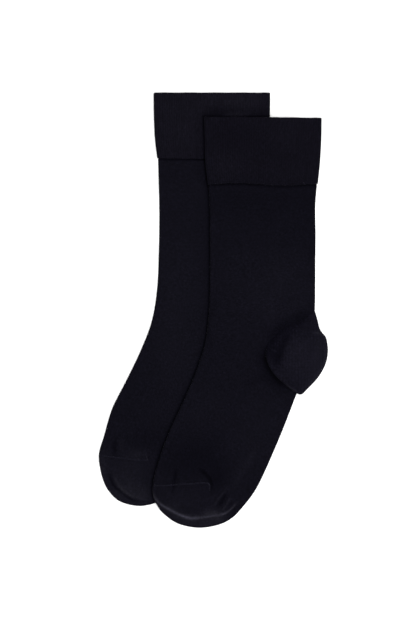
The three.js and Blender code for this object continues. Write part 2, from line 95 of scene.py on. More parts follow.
LOWER = {
    "name": "lower_sock",
    "crown": 0.4,
    # What shows of each piece, laid flat and all round: its width and length, and its area.
    "cut": {"cuff": ((186, 53), 9600), "leg_and_foot": ((210, 287), 44400), "heel_pocket": ((50, 68), 2300)},
    # Sections of the cuff, from the mouth down: where each meets the left and the right side fold.
    "cuff": [
        ((-47.6, 173.8), (45.4, 173.8)),
        ((-47.4, 155.3), (45.2, 155.3)),
        ((-46.5, 136.1), (45.0, 137.7)),
        ((-44.7, 121.2), (42.8, 120.5)),
    ],
    # Its lower edge: how far it lies above those points, by the share of the way across.
    "cuff_hem": [(0, 0.2), (0.2, -0.1), (0.4, 0.0), (0.6, 0.2), (0.8, -0.1), (1, 0.1)],
    # Sections of the leg and foot, from below the cuff to the toe.
    "tube": [
        ((-43.7, 104.1), (41.1, 104.1)),
        ((-43.1, 76.1), (41.3, 80.1)),
        ((-43.5, 48.1), (41.1, 58.5)),
        ((-45.0, 16.1), (40.8, 37.7)),
        ((-49.4, -9.5), (40.2, 17.7)),
        ((-58.6, -33.5), (37.4, -4.7)),
        ((-69.6, -56.3), (31.4, -27.9)),
        ((-80.8, -78.7), (21.8, -51.1)),
        ((-87.5, -101.1), (7.4, -84.7)),
        ((-91.4, -115.1), (-7.4, -123.9)),
        ((-90.7, -125.1), (-14.2, -133.5)),
        ((-87.8, -136.3), (-24.2, -142.2)),
        ((-84.2, -143.5), (-32.2, -147.9)),
        ((-75.4, -152.3), (-42.6, -152.8)),
    ],
    "toe_tip": (-58.6, -156.4),
    # How far the lower wall's fold shows past the upper wall's, by its place round the tube's outline.
    "toe_rim": [(0.345, 0), (0.385, 5.5), (0.435, 6.0), (0.47, 5.6), (0.5, 3.6), (0.57, 0)],
    "heel": {"rise": 1.3, "press": 0.6, "by": (-40.4, 20.2), "turned": -3, "about": (40.4, 17.7)},
    "toe_seam": [(-89.0, -115.9), (-78.6, -117.5), (-66.0, -118.9), (-53.0, -119.9)],
    # Ridges, with a height above 0, and troughs, with one below: the place, its height, its width, how
    # much lighter it is there, and its line. That tone is a painted highlight on the ridges and painted
    # shade in the troughs.
    "creases": [
        ("toe, folded edge", 0.6, 1.6, 0.42,
         [(-79.6, -129.5), (-78.2, -135.0), (-76.2, -139.0), (-72.6, -143.4), (-68.2, -147.0),
          (-63.2, -149.4), (-55.0, -150.9)]),
        ("toe, valley outside the folded edge", -0.6, 1.2, -0.65,
         [(-83.0, -129.5), (-81.8, -134.3), (-79.4, -139.9), (-75.4, -143.9), (-69.8, -148.3),
          (-64.2, -151.1), (-56.2, -152.7)]),
        ("toe, crease down to the seam", -0.7, 1.8, -0.45,
         [(-79.0, -103.5), (-79.2, -109.0), (-79.4, -115.9)]),
        ("toe, ridge beside the crease", 0.3, 2.2, 0.25,
         [(-74.0, -101.5), (-73.6, -108.0), (-73.2, -115.0)]),
        ("toe, tuck at the seam's end", 0.5, 0.6, 0.6,
         [(-53.8, -115.5), (-53.0, -118.0), (-51.4, -121.5)]),
        ("toe, crease beside the tuck", -0.4, 0.6, -0.3,
         [(-52.3, -115.5), (-51.2, -119.0), (-49.8, -123.0)]),
    ],
    # Soft places: the place, its centre, its reach along X and Y, how much higher and how much lighter.
    # Where marked, the tone is painted light and shade; elsewhere it makes broad lighter and darker places.
    "patches": [
        ("cuff", (-28, 150), (30, 44), 0, 0.24),
        # painted shade below the cuff's edge
        ("below the cuff", (-24, 112), (30, 9), 0, -0.12),
        # painted shadow of the other sock's cuff corner
        ("cuff, above the other one's corner", (3.0, 158.5), (8, 4.5), 0, -0.35),
        # this and the next: painted light that lifts the shade beside the other sock's mouth
        ("cuff, right", (22.0, 168.0), (26, 9), 0, 0.4),
        ("cuff, beside the other one's mouth", (17.0, 155.2), (12, 2.4), 0, 0.8),
        ("shin", (-30.0, 40.0), (24, 45), 0, 0.12),
        ("above the toe seam", (-60.2, -114.7), (8, 4.5), 0.3, 0.4),
        ("toe", (-70.0, -132.0), (17, 15), 0, 0.4),
        ("above the toe", (-52.0, -104.0), (17, 11), 0, -0.22),
        ("edge of the toe", (-78.0, -149.0), (17, 9), 0, 0.45),
        ("side of the toe", (-89.5, -127.0), (5, 15), 0, 0.6),
        ("toe, beside the other one", (-55.0, -149.5), (9, 8), 0, 0.4),
        # painted highlight on the flat of the toe's fold
        ("toe, flat of the fold", (-63.0, -143.0), (13, 6), 0, 0.2),
        ("leg", (-30.0, -20.0), (26, 55), 0.1, 0.2),
    ],
}

UPPER = {
    "name": "upper_sock",
    "crown": 0.8,
    "cut": {"cuff": ((188, 53), 9700), "leg_and_foot": ((208, 283), 44600), "heel_pocket": ((50, 68), 2400)},
    "cuff": [
        ((-7.5, 154.3), (86.5, 153.7)),
        ((-6.9, 136.1), (86.2, 136.1)),
        ((-6.4, 118.5), (85.2, 118.5)),
        ((-4.4, 100.9), (83.4, 100.5)),
    ],
    "cuff_hem": [
        (0, -0.7), (0.18, 0.55), (0.33, 0.7), (0.45, -0.1), (0.6, -1.0), (0.78, -0.9), (0.9, 0), (1, 0.3),
    ],
    "tube": [
        ((-2.9, 84.1), (81.5, 84.1)),
        ((-2.7, 60.1), (81.7, 60.1)),
        ((-2.6, 32.1), (81.5, 38.5)),
        ((-3.2, 3.3), (81.4, 17.7)),
        ((-5.8, -22.3), (81.0, -1.5)),
        ((-13.4, -47.9), (79.0, -23.9)),
        ((-23.6, -71.9), (74.2, -46.3)),
        ((-34.7, -95.9), (65.5, -69.5)),
        ((-43.0, -118.3), (53.0, -101.5)),
        ((-48.3, -139.1), (36.2, -139.1)),
        ((-47.9, -148.7), (30.3, -148.7)),
        ((-43.0, -158.7), (22.2, -158.7)),
        ((-36.7, -165.1), (16.1, -165.1)),
        ((-27.8, -170.6), (6.6, -170.6)),
    ],
    "toe_tip": (-11.0, -173.8),
    "toe_rim": [(0.375, 0), (0.42, 4.8), (0.5, 7.1), (0.55, 7.4), (0.585, 5.6), (0.635, 0)],
    "heel": {"rise": 6.6, "press": 1, "by": (0, 0), "turned": 0, "about": (0, 0)},
    "thread_end": (72.4, 100.9),
    "toe_seam": [
        (-47.6, -139.9), (-38.6, -139.9), (-22.6, -138.7), (-3.8, -138.3), (-3.0, -140.2), (-3.0, -144.7),
    ],
    # As the lower sock's, their tone is painted highlight on the ridges and painted shade in the troughs.
    "creases": [
        ("toe, folded edge", 0.5, 1.35, 1.5,
         [(-48.2, -144.5), (-47.4, -148.7), (-42.6, -154.3), (-34.6, -159.4), (-26.6, -163.4),
          (-18.6, -166.1), (-10.6, -165.7), (-4.0, -164.8)]),
        ("toe, folded edge on the right", 0.5, 1.1, 0.6,
         [(-8.0, -165.4), (-2.0, -164.6), (6.0, -163.0), (13.0, -160.0)]),
        ("toe, thin end of the folded edge", 0.3, 0.85, 1.2,
         [(5.0, -164.3), (10.2, -161.9), (15.0, -157.9), (19.2, -152.9)]),
        ("toe, crease across the seam", -0.7, 1.3, -0.55,
         [(-30.0, -126.5), (-31.0, -135.0), (-32.8, -146.5)]),
        ("toe, hollow at the seam's end", -1.0, 1.4, -0.8,
         [(-11.5, -127.0), (-5.8, -131.1), (-2.4, -135.9), (-1.6, -144.7)]),
        ("toe, inner fold on the right", 0.7, 1.2, 0.5,
         [(11.0, -141.0), (5.5, -149.0), (-1.0, -157.0)]),
        ("toe, dip between the folds", -0.9, 1.7, -0.6,
         [(10.2, -146.5), (7.0, -151.5), (3.8, -156.5)]),
        ("toe, outer fold on the right", 0.6, 0.9, 0.7,
         [(14.0, -149.0), (10.2, -155.5), (6.5, -160.5)]),
        ("foot, soft crease from the heel", -0.5, 4.0, -0.16,
         [(46.0, -53.0), (36.0, -55.5), (24.0, -60.5)]),
        ("side of the foot", 0.3, 2.6, 0.25,
         [(36.0, -108.0), (27.5, -121.0), (21.5, -131.0), (15.5, -142.0)]),
        ("ankle, valley above the heel", -1.1, 5.0, -0.5,
         [(78.0, -1.0), (72.0, -4.9), (65.0, -8.6), (57.0, -12.5), (48.5, -19.0), (43.0, -26.0)]),
        ("ankle, gap under the heel's fold", -0.4, 2.0, -1.0,
         [(42.8, -29.0), (41.6, -36.0), (43.0, -43.5), (47.0, -50.5), (52.0, -56.4), (58.0, -61.2)]),
        ("ankle, hollow outside the heel's fold", -0.8, 6.0, -0.35,
         [(41.0, -31.0), (39.4, -38.5), (41.4, -46.0), (45.6, -52.5), (50.6, -58.0), (58.0, -64.5)]),
    ],
    "patches": [
        # lighter towards the cuff's lower left corner
        ("cuff, lighter lower left corner", (6, 112), (13, 12), 0, 0.16),
        ("cuff, upper left", (16, 140), (24, 14), 0.1, -0.2),
        ("cuff, lower right", (54, 122), (20, 10), 0, -0.1),
        # painted shade below the cuff's edge
        ("below the cuff", (38, 90), (90, 16), 0, -0.22),
        ("shin", (60, 62), (40, 22), 0, -0.12),
        ("ankle", (50, 22), (40, 30), 0.2, 0.22),
        ("over the lower sock's heel", (43.8, -1.5), (8, 8), 0, 0.08),
        # this and the next: painted shade above the toe and beside the hollow at the seam's end
        ("above the toe", (-13.0, -119.0), (24, 17), -0.3, -0.42),
        ("beside the hollow", (3.0, -134.5), (6, 9), -0.3, -0.45),
        ("foot", (-8.0, -76.0), (18, 16), 0, 0.14),
        ("foot, right", (24.0, -116.0), (15, 13), 0, 0.1),
        ("toe", (-31.0, -149.5), (24, 11), 0, 0.22),
        ("edge of the toe", (-14.0, -170.5), (30, 5), 0, 0.55),
        ("edge of the toe, right", (4.5, -167.0), (6, 2.6), 0, 0.4),
        # this and the next two: painted highlights on the toe's fold and its crescent
        ("toe, painted highlight on the fold", (-0.5, -162.6), (8.5, 3.8), 0.2, 1.0),
        ("toe, painted highlight on the crescent", (-35.0, -159.6), (9, 5), 0, 0.4),
        ("toe, lower painted highlight on the crescent", (-23.0, -164.6), (12, 2.8), 0, 0.5),
        ("instep", (40, -95), (22, 24), 0, 0.12),
    ],
}

# The heel pocket's outline where it lies on the upper sock, clockwise from the back of the leg: point,
# thickness of the folded edge, and how far it is joined to the leg there instead, from 0 to 1.
HEEL_POCKET = [
    ((80.2, 0.0), 1.4, 1.0),
    ((82.9, -6.5), 2.0, 0.6),
    ((84.9, -14.5), 2.4, 0.2),
    ((87.2, -18.2), 2.6, 0.0),
    ((89.8, -21.3), 2.6, 0.0),
    ((91.3, -27.5), 2.6, 0.0),
    ((91.5, -34.5), 2.6, 0.0),
    ((89.5, -43.5), 2.6, 0.0),
    ((84.0, -53.3), 2.6, 0.0),
    ((75.6, -62.4), 2.4, 0.0),
    ((70.2, -67.2), 2.2, 0.0),
    ((67.2, -66.6), 2.2, 0.0),
    ((57.8, -59.8), 2.2, 0.0),
    ((47.9, -50.2), 2.2, 0.0),
    ((43.1, -41.3), 2.0, 0.0),
    ((41.9, -33.2), 1.6, 0.15),
    ((43.2, -28.5), 1.2, 0.8),
    ((48.8, -19.8), 1.0, 1.0),
    ((56.6, -12.9), 1.0, 1.0),
    ((67.5, -8.2), 1.0, 1.0),
    ((75.4, -4.2), 1.2, 1.0),
]
POCKET_CENTRE = (68.0, -36.0)
POCKET_SLACK = 0.65
DOME_POWER = 2.6
DOME_REACH = 24.0  # how far in from its folded edge it is at its fullest
JOIN_REACH = 22.0  # and from its joined edge
POCKET_SINK = 0.35  # how far its joined edge lies inside the leg's wall
POCKET_JOIN_SHADE = (6.5, -0.6)  # width and tone of the painted shade along its joined edge, in the valley above the heel
POCKET_BACK = (83.0, -6.0)  # where that edge leaves the back of the leg, and the painted shade is weaker
POCKET_BACK_REACH = (4, 18)  # how far from there the painted shade begins, and is at its full
POCKET_LIFT = 0.05  # how far above the leg's fullest surface its folded edge lies
RING_POWER = 1.2  # how closely its rings lie in the middle
POCKET_WAVES = 0.8  # height of the cloth's waves on it, as a share of the leg's
POCKET_FOLDED = slice(1, 16)  # the rows of its outline along the folded edge
POCKET_JOINED = [15, 16, 17, 18, 19, 20, 0, 1]  # and along the joined one
# Its creases, laid out as the socks'. Their tone is painted highlight on the tip's line, the folded edge,
# the corner, the edge at the back and the shoulder, and painted shade in the inner crease.
POCKET_CREASES = [
    ("inner crease", -1.6, 2.8, -0.55,
     [(62.0, -18.0), (57.2, -22.5), (54.2, -29.0), (52.0, -36.0), (50.2, -44.5)]),
    ("line of the heel's knit", -0.15, 0.6, -0.15,
     [(64.0, -21.3), (75.0, -20.9), (88.5, -21.4)]),
    ("line from the tip", 0.35, 0.7, 0.5,
     [(43.8, -29.5), (47.8, -31.6), (51.8, -33.5)]),
    ("painted highlight on the lower corner", 0.2, 0.7, 0.7,
     [(57.5, -58.6), (62.0, -62.0), (67.4, -65.4)]),
    ("folded edge", 0.0, 1.4, 0.18,
     [(44.0, -32.0), (45.4, -40.3), (49.8, -48.6), (58.6, -57.6)]),
    ("painted highlight on the edge at the back", 0.0, 1.4, 0.45,
     [(88.8, -22.0), (90.2, -28.0), (90.4, -35.0), (88.4, -43.0), (83.0, -52.5), (74.8, -61.4)]),
    ("shoulder", 0.15, 0.8, 0.5,
     [(77.5, -17.9), (83.5, -18.2), (88.0, -20.4), (90.0, -23.5)]),
]
# The flat is painted darker as shade, and the shoulder lighter as a painted highlight; the dome is lighter.
POCKET_PATCHES = [
    ("flat between the fold and the inner crease", (48.5, -38.0), (4.5, 11), -0.5, -0.45),
    ("dome", (71.0, -38.0), (17, 18), 0.3, 0.22),
    ("shoulder", (84.6, -17.9), (3.5, 2.0), 0.1, 0.25),
]


def lerp(a, b, t):
    return a + (b - a) * t


def smoothstep(x, low, high):
    t = np.clip((x - low) / (high - low), 0, 1)
    return t * t * (3 - 2 * t)


def softer_of(a, b, blend=1.2):
    """The lower of two heights, with the corner between them rounded: the mean less half of the square
    root of (difference squared + blend squared)."""
    return (a + b) / 2 - np.sqrt((a - b) ** 2 + blend**2) / 2 + blend / 2 * np.exp(-((a - b) / blend) ** 2)


def round_over(depth, radius):
    """Height of a quarter circle of the given radius at a depth in from its edge."""
    inside = np.clip(depth, 0, radius)
    return np.sqrt(inside * (2 * radius - inside))


def eased(rows, share):
    """A table's value at a share, eased from each row to the next."""
    shares, values = np.array(rows, float).T
    step = np.clip(np.searchsorted(shares, share, "right"), 1, len(shares) - 1)
    t = smoothstep(share, shares[step - 1], shares[step])
    return lerp(values[step - 1], values[step], t)


def through(points, places, closed=False):
    """Places, counted in points, on the centripetal Catmull-Rom curve through the points.

    With spans d = distance ** 0.5 between four points in a row, the slope at an inner point is that of the
    parabola through it and its two neighbours, and the cubic between the inner two has those slopes.
    """
    points = np.asarray(points, float)
    before = points[-1:] if closed else 2 * points[:1] - points[1:2]
    after = points[:2] if closed else 2 * points[-1:] - points[-2:-1]
    chain = np.vstack([before, points, after])
    first = np.clip(np.floor(places).astype(int), 0, len(chain) - 4)
    s = (places - first)[..., None]
    p0, p1, p2, p3 = (chain[first + k] for k in range(4))
    d0, d1, d2 = (
        np.maximum(np.linalg.norm(b - a, axis=-1, keepdims=True) ** 0.5, 1e-6)
        for a, b in ((p0, p1), (p1, p2), (p2, p3))
    )
    slope1 = ((p1 - p0) / d0 - (p2 - p0) / (d0 + d1) + (p2 - p1) / d1) * d1
    slope2 = ((p2 - p1) / d1 - (p3 - p1) / (d1 + d2) + (p3 - p2) / d2) * d1
    squared = 3 * (p2 - p1) - 2 * slope1 - slope2
    cubed = 2 * (p1 - p2) + slope1 + slope2
    return p1 + s * slope1 + s**2 * squared + s**3 * cubed


class Line:
    """A smooth line in plan through a few points: an outline with an inside, or a crease.

    nearest() gives how far each place lies in from the line, less than 0 outside it, and the share of the
    way along the line of its nearest point. An open line runs straight on past its ends by its lead, and a
    cornered one runs straight from point to point.
    """

    def __init__(self, points, closed=False, lead=20.0, cornered=False):
        spans = len(points) if closed else len(points) - 1
        places = np.arange(spans + 1) if cornered else np.linspace(0, spans, EDGE_STEPS * spans + 1)
        self.points = np.vstack([points, points[:1]]) if cornered else through(points, places, closed)
        self.shares = places / spans
        if not closed and lead:
            ends = self.points[[0, -1]] - self.points[[1, -2]]
            ends *= lead / np.linalg.norm(ends, axis=1, keepdims=True)
            self.points = np.vstack([self.points[0] + ends[0], self.points, self.points[-1] + ends[1]])
            self.shares = np.concatenate([[0], self.shares, [1]])

    def nearest(self, x, y):
        distance = np.full(np.shape(x), np.inf)
        share = np.zeros(np.shape(x))
        inside = np.zeros(np.shape(x), bool)
        ends = zip(self.points, np.roll(self.points, -1, axis=0))
        for step, ((ax, ay), (bx, by)) in enumerate(ends):
            dx, dy = bx - ax, by - ay
            if dy:
                inside ^= ((ay > y) != (by > y)) & (x < ax + (y - ay) * dx / dy)
            if step == len(self.points) - 1:
                break
            t = np.clip(((x - ax) * dx + (y - ay) * dy) / (dx * dx + dy * dy), 0, 1)
            away = np.hypot(x - ax - t * dx, y - ay - t * dy)
            nearer = away < distance
            distance = np.where(nearer, away, distance)
            share = np.where(nearer, lerp(self.shares[step], self.shares[step + 1], t), share)
        return np.where(inside, distance, -distance), share


def relief(x, y, creases, patches):
    """Height and tone that creases and soft places add, the tone being partly painted light and shade:
    each is a bell curve of the distance from the crease's line, fading over the line's ends, or of the
    distance from the place's centre."""
    height = np.zeros(np.shape(x))
    tone = np.zeros(np.shape(x))
    for _, rise, width, lighter, line in creases:
        away, share = Line(line, lead=0).nearest(x, y)
        bell = np.exp(-((away / width) ** 2))
        fade = smoothstep(share, *END_FADE) * smoothstep(1 - share, *END_FADE)
        height += rise * bell * fade
        tone += lighter * bell * fade
    for _, centre, reach, rise, lighter in patches:
        away = ((x - centre[0]) / reach[0]) ** 2 + ((y - centre[1]) / reach[1]) ** 2
        height += rise * np.exp(-away)
        tone += lighter * np.exp(-away)
    return height, tone


# Slow waves of limp cloth: length of the wave, its direction in degrees, where it starts, its height.
WAVES = [
    (61, 12, 0.3, 0.13),
    (43, 78, 1.9, 0.10),
    (31, 140, 4.0, 0.08),
    (23, 35, 2.2, 0.05),
    (17, 100, 5.1, 0.04),
]


def waves(x, y):
    """The sum of a few plane waves, each height * sin(2 pi * (distance along its direction) / length)."""
    total = np.zeros(np.shape(x))
    for length, direction, start, height in WAVES:
        turn = np.radians(direction)
        total += height * np.sin(2 * np.pi * (x * np.cos(turn) + y * np.sin(turn)) / length + start)
    return total


def waver(column, rows):
    """The sum of height * sin(column * step + start) over the rows."""
    return sum(height * np.sin(column * step + start) for height, step, start in rows)


class Sock:
    """One sock's outlines and heights. ground gives the height of what its lower wall lies on, and
    spanned what its upper wall follows, which bridges the hollows beside things more gently."""

    def __init__(self, table, ground, spanned):
        self.table = table
        self.name = table["name"]
        self.crown = table["crown"]
        self.ground = ground
        self.spanned = spanned
        left, right = table["cuff"][-1]
        under_cuff = ((left[0] + CUFF_STEP, left[1] - CLEAR), (right[0] - CUFF_STEP, right[1] - CLEAR))
        self.rows = np.array([under_cuff, *table["tube"]])
        self.round = np.vstack([self.rows[:, 0], table["toe_tip"], self.rows[::-1, 1]])
        self.outline = Line(self.round)
        self.cuff_rows = np.array(table["cuff"])
        cuff_round = np.vstack([self.cuff_rows[:, 0], self.cuff_rows[::-1, 1]])
        self.cuff_outline = Line(cuff_round, closed=True, cornered=True)
        self.pocket = self.on_heel([row[0] for row in HEEL_POCKET])
        self.pocket_outline = Line(self.pocket, closed=True)
        self.pocket_fold = Line(self.pocket[POCKET_FOLDED], lead=0)
        self.pocket_join = Line(self.pocket[POCKET_JOINED], lead=0)
        self.covered_by = []

    def on_heel(self, points):
        """Points of the heel pocket's tables, moved to where this sock's own pocket lies."""
        heel = self.table["heel"]
        turn = np.radians(heel["turned"])
        about = np.array(heel["about"])
        x, y = (np.array(points) + heel["by"] - about).T
        turned = [x * np.cos(turn) - y * np.sin(turn), x * np.sin(turn) + y * np.cos(turn)]
        return np.array(turned).T + about

    def hem_at(self, x):
        """Where the cuff's wavering lower edge lies along Y."""
        (x0, y0), (x1, y1) = self.cuff_rows[-1]
        share = np.clip((x - x0) / (x1 - x0), 0, 1)
        return lerp(y0, y1, share) + np.interp(share, *np.array(self.table["cuff_hem"]).T)

    def crown_at(self, depth):
        return self.crown * smoothstep(depth, 0, CROWN_REACH)

    def tucked(self, x, y):
        """How far inside the cuff a place on the leg is, from 0 below the cuff's edge to 1 inside it."""
        (x0, y0), (x1, y1) = self.cuff_rows[-1]
        return smoothstep(y - lerp(y0, y1, (x - x0) / (x1 - x0)), -0.7, 0.9)

    def tube_height(self, x, y, depth, share, side):
        """Height of the leg and foot: side is 1 for the upper surface, -1 for the lower one.

        middle + side * quarter circle of the depth + crown, above only. The radius is less on the toe's rim
        and inside the cuff, and there the middle is the cuff's own.
        """
        rim = eased(self.table["toe_rim"], share)
        past = smoothstep(depth, rim - TOE_STEP / 2, rim + TOE_STEP / 2)
        radius = lerp(TUBE_RADIUS, TOE_RIM_RADIUS, smoothstep(rim, 0, TOE_STEP) * (1 - past))
        tucked = self.tucked(x, y)
        middle = lerp(radius, CUFF_RADIUS, tucked)
        radius = lerp(radius, TUCK_RADIUS, tucked)
        lower_wall = self.ground(x, y) + middle
        if side < 0:
            return lower_wall - round_over(depth, radius)
        upper_wall = lerp(lower_wall, self.spanned(x, y) + middle, smoothstep(depth, 0, SPAN_FROM_FOLD))
        return upper_wall + round_over(depth, radius) + self.crown_at(depth)

    def contact_shadow(self, x, y):
        """Painted shadow: how much darker the knit is painted beside what lies on it."""
        tone = np.zeros(np.shape(x))
        width, darker = CONTACT_SHADOW
        for outline in self.covered_by:
            inside, _ = outline.nearest(x, y)
            tone += darker * np.exp(-((np.minimum(inside, 0) / width) ** 2))
        return tone

    def creased(self, x, y, depth):
        """Height that creases add to the leg and foot, none at the side folds, and their tone: painted
        highlights and shade of the creases, the soft places' tone, painted shadow beside what lies on the
        sock, and painted shade in the groove under the cuff.
        """
        raised, tone = relief(x, y, self.table["creases"], self.table["patches"])
        deep, width, darker = HEM_GROOVE
        groove = np.exp(-(((self.hem_at(x) - y) / width) ** 2))
        # painted shadow beside what lies on the sock, and painted shade in the groove under the cuff's edge
        tone = tone + self.contact_shadow(x, y) + darker * groove
        off_fold = smoothstep(depth, *OFF_FOLD)
        inside = off_fold * (1 - self.tucked(x, y))
        return (raised + waves(x, y)) * inside - deep * groove * off_fold, tone

    def surface(self, x, y):
        """Height of the leg's and foot's upper surface with its creases."""
        depth, share = self.outline.nearest(x, y)
        return self.tube_height(x, y, depth, share, 1) + self.creased(x, y, depth)[0]

    def sections(self, places, inset):
        """The two ends in plan of the sections at row numbers, moved in from the side folds."""
        last = len(self.round) - 1
        ends = []
        for at in (places, last - places):
            point = through(self.round, at)
            along = through(self.round, at + 0.01) - through(self.round, at - 0.01)
            along /= np.linalg.norm(along, axis=-1, keepdims=True)
            inward = np.stack([-along[..., 1], along[..., 0]], axis=-1)
            ends.append(point + inward * np.asarray(inset)[..., None])
        return ends


def tube_places(sock):
    """Row numbers of the grid's rows, from inside the cuff to the tip of the toe."""
    middle = sock.rows.mean(axis=1)
    middle = np.vstack([middle, sock.table["toe_tip"]])
    lengths = np.linalg.norm(np.diff(middle, axis=0), axis=1)
    apart = [LEG_ROWS] * 5 + [FOOT_ROWS] * 4 + [TOE_ROWS] * 6
    steps = np.ceil(lengths / apart).astype(int)
    steps[-1] *= 3
    inside_cuff = np.linspace(-TUCK / lengths[0], 0, 9, endpoint=False)
    spans = [row + np.arange(count) / count for row, count in enumerate(steps)]
    return np.concatenate([inside_cuff, *spans, [len(steps)]])


def across(width, count):
    """Columns across a flattened tube: radius * (1 - cos(turn)) through each side fold, even between."""
    radius = np.minimum(TUBE_RADIUS, width / 4)[:, None]
    width = width[:, None]
    turn = np.linspace(0, np.pi / 2, FOLD_COLUMNS, endpoint=False)
    fold = radius * (1 - np.cos(turn))
    even = lerp(radius, width - radius, np.linspace(0, 1, count))
    return np.concatenate([fold, even, width - fold[:, ::-1]], axis=1) / np.maximum(width, 1e-9)


def leg_and_foot(sock):
    """The leg and foot: a grid that runs from the tip up inside, over the edge in the cuff, and back down
    outside to the tip, with its columns across the upper wall and back across the lower one."""
    outer = tube_places(sock)
    length = np.linalg.norm(np.diff(sock.sections(outer, 0 * outer)[0], axis=0), axis=1)
    thinned = np.concatenate([[True], np.diff(np.floor(np.cumsum(length) / INNER_ROWS)) > 0])
    inner = np.concatenate([outer[:-1][thinned], outer[-1:]])[::-1]
    places = np.concatenate([inner, outer])
    wall = np.concatenate([np.full(len(inner), 1.0), np.zeros(len(outer))])

    # In the cuff the wall is thinner, so the inner rows stand less far in.
    side = sock.sections(places, 0 * places)
    in_cuff = sock.tucked(side[0][:, 0], side[0][:, 1])
    inset = TUCK_INSET * in_cuff + wall * lerp(KNIT_WALL, TUCK_RADIUS / 2, in_cuff)
    left, right = sock.sections(places, inset)
    tip = places == places.max()
    left[tip] = right[tip] = (left[tip] + right[tip]) / 2
    width = np.linalg.norm(right - left, axis=1)
    upper_t = across(width, TUBE_COLUMNS)
    lower_t = across(width, TUBE_COLUMNS_UNDER)[:, -2:0:-1]
    t = np.concatenate([upper_t, lower_t], axis=1)
    above = np.arange(t.shape[1]) < upper_t.shape[1]
    side = np.where(above, 1.0, -1.0)
    plan = lerp(left[:, None], right[:, None], t[..., None])
    x, y = plan[..., 0], plan[..., 1]

    depth, share = sock.outline.nearest(x, y)
    at_fold = (t < 1e-9) | (t > 1 - 1e-9)
    from_fold = np.where(at_fold, 0, np.maximum(depth - inset[:, None], 0))
    upper_z, lower_z = (sock.tube_height(x, y, from_fold, share, way) for way in (1, -1))
    outer_z = np.where(above, upper_z, lower_z)
    middle = sum(sock.tube_height(x, y, 0 * depth, share, way) for way in (1, -1)) / 2
    gap = round_over(from_fold, HOLLOW / 2) * lerp(1, 0.5, in_cuff)[:, None]
    inner_z = middle + side * gap + np.where(above, sock.crown_at(depth), 0)
    z = np.where(wall[:, None] > 0, inner_z, outer_z)

    # Creases above, and their like below: dents only, so that the underside still lies flat.
    raised, tone = sock.creased(x, y, depth)
    mirrored = lerp(left[:, None], right[:, None], 1 - t[..., None])
    hidden, _ = relief(mirrored[..., 0], mirrored[..., 1], sock.table["creases"], sock.table["patches"])
    dent_share, deepest = UNDER_DENT
    hidden = np.clip(-dent_share * hidden, 0, deepest) * smoothstep(depth, *OFF_FOLD)
    hidden = hidden * (1 - sock.tucked(x, y))
    z = z + np.where(above, raised, hidden) * (wall[:, None] == 0)

    run = np.concatenate([[0], np.cumsum(np.linalg.norm(np.diff((left + right) / 2, axis=0), axis=1))])
    from_middle = (t - 0.5) * width[:, None]
    knit = np.stack([from_middle, np.broadcast_to(run[:, None], t.shape)], axis=-1)
    knit = np.concatenate([knit, knit[:, :1]], axis=1)
    points = np.stack([x, y, z], axis=-1)
    return knit_mesh(f"{sock.name}_leg_and_foot_knit", points, knit, tone)


def cuff_path(length):
    """The cuff wall's own outline, cut along the sock: how far down from the mouth, the distance from the
    middle of the flattened tube, and the direction outwards. The mouth is a fold of the doubled cloth, a
    half circle as thick as the wall, and the lower edge is a smaller one with the leg inside it."""
    fold = CUFF_WALL / 2
    half_turn = np.linspace(0, np.pi, 2 * RIM_STEPS + 1)
    lip_inside = CUFF_RADIUS - 2 * CUFF_LIP
    rows = int(round(length / CUFF_ROWS))
    down = np.linspace(fold, length - CUFF_LIP, rows + 1)[1:-1]
    outside = np.stack([down, np.full_like(down, CUFF_RADIUS), 0 * down, 1 + 0 * down], axis=1)
    lip = np.stack([
        length - CUFF_LIP + CUFF_LIP * np.sin(half_turn),
        CUFF_RADIUS - CUFF_LIP + CUFF_LIP * np.cos(half_turn),
        np.sin(half_turn),
        np.cos(half_turn),
    ], axis=1)
    back = np.linspace(length - CUFF_LIP, fold, 16)[1:-1]
    gap = lerp(lip_inside, HOLLOW / 2, smoothstep(length - back, TUCK + 0.6, TUCK + 5))
    inside = np.stack([back, gap, 0 * back, -1 + 0 * back], axis=1)
    mouth = np.stack([
        fold - fold * np.sin(half_turn),
        CUFF_RADIUS - fold - fold * np.cos(half_turn),
        -np.sin(half_turn),
        -np.cos(half_turn),
    ], axis=1)
    return np.concatenate([outside, lip, inside, mouth])


